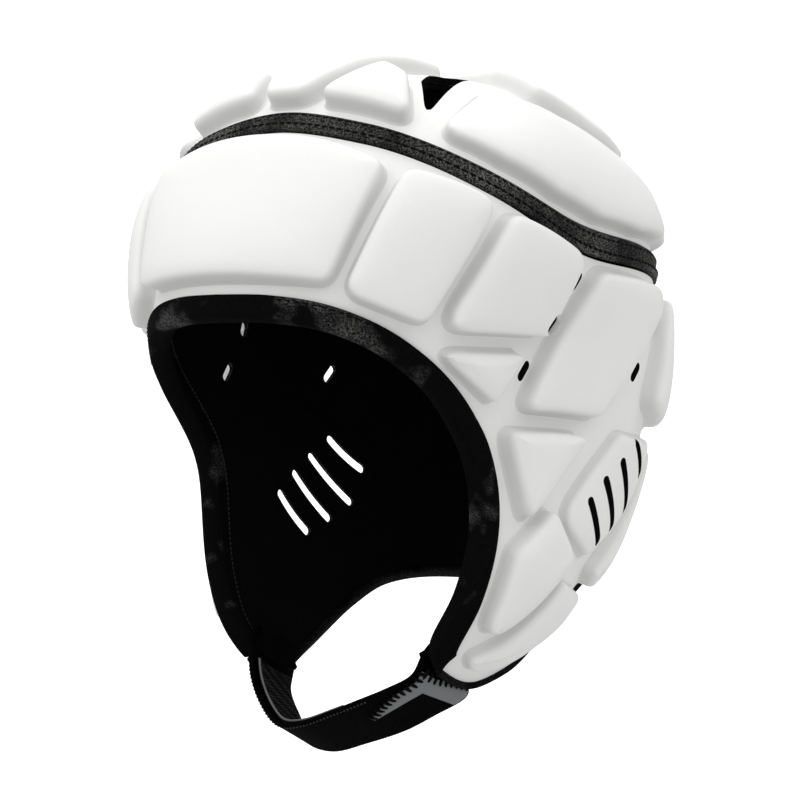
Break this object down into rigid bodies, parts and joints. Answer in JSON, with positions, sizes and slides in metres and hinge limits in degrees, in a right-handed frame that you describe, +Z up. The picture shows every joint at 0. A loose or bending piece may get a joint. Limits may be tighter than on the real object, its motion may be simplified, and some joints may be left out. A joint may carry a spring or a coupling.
{
  "type": "padded rugby scrum cap",
  "caption": "Soft padded head guard of white moulded foam blocks on a thin cap, with a face opening, ear vents and a dark chin strap.",
  "frame": {"origin": "inside top of the lining, where the cap sits on the crown of a head, on the cap's middle plane", "axes": "+Z up, the face opening looks along -Y, the left cheek flap of the cap is on +X"},
  "size_m": [0.1758, 0.2279, 0.2576],
  "materials": {
    "foam": "satin",
    "lining": "matt",
    "band": "matt",
    "strap": "matt",
    "elastic": "matt",
    "patch": "satin"
  },
  "bodies": {
    "root": {"shell_lower": "foam", "shell_crown": "foam", "lining": "lining", "seam_band": "band", "face_binding": "band", "hem_trim": "band", "chin_strap": "strap", "chin_elastic": "elastic", "strap_patch": "patch", "pad_brow": "foam", "pad_crown_front": "foam", "pad_crown_top": "foam", "pad_crown_rear": "foam", "pad_rear_upper": "foam", "pad_rear_lower": "foam", "pad_temple_left": "foam", "pad_temple_right": "foam", "pad_side_front_left": "foam", "pad_side_front_right": "foam", "pad_cheek_bone_left": "foam", "pad_cheek_bone_right": "foam", "pad_side_left": "foam", "pad_side_right": "foam", "pad_side_rear_left": "foam", "pad_side_rear_right": "foam", "pad_cheek_upper_left": "foam", "pad_cheek_upper_right": "foam", "pad_nape_left": "foam", "pad_nape_right": "foam", "pad_cheek_middle_left": "foam", "pad_cheek_middle_right": "foam", "pad_cheek_lower_left": "foam", "pad_cheek_lower_right": "foam", "pad_crown_triangle_left": "foam", "pad_crown_triangle_right": "foam", "pad_crown_side_left": "foam", "pad_crown_side_right": "foam", "pad_crown_rear_side_left": "foam", "pad_crown_rear_side_right": "foam", "pad_ear_left": "foam", "pad_ear_right": "foam"}
  },
  "joints": []
}
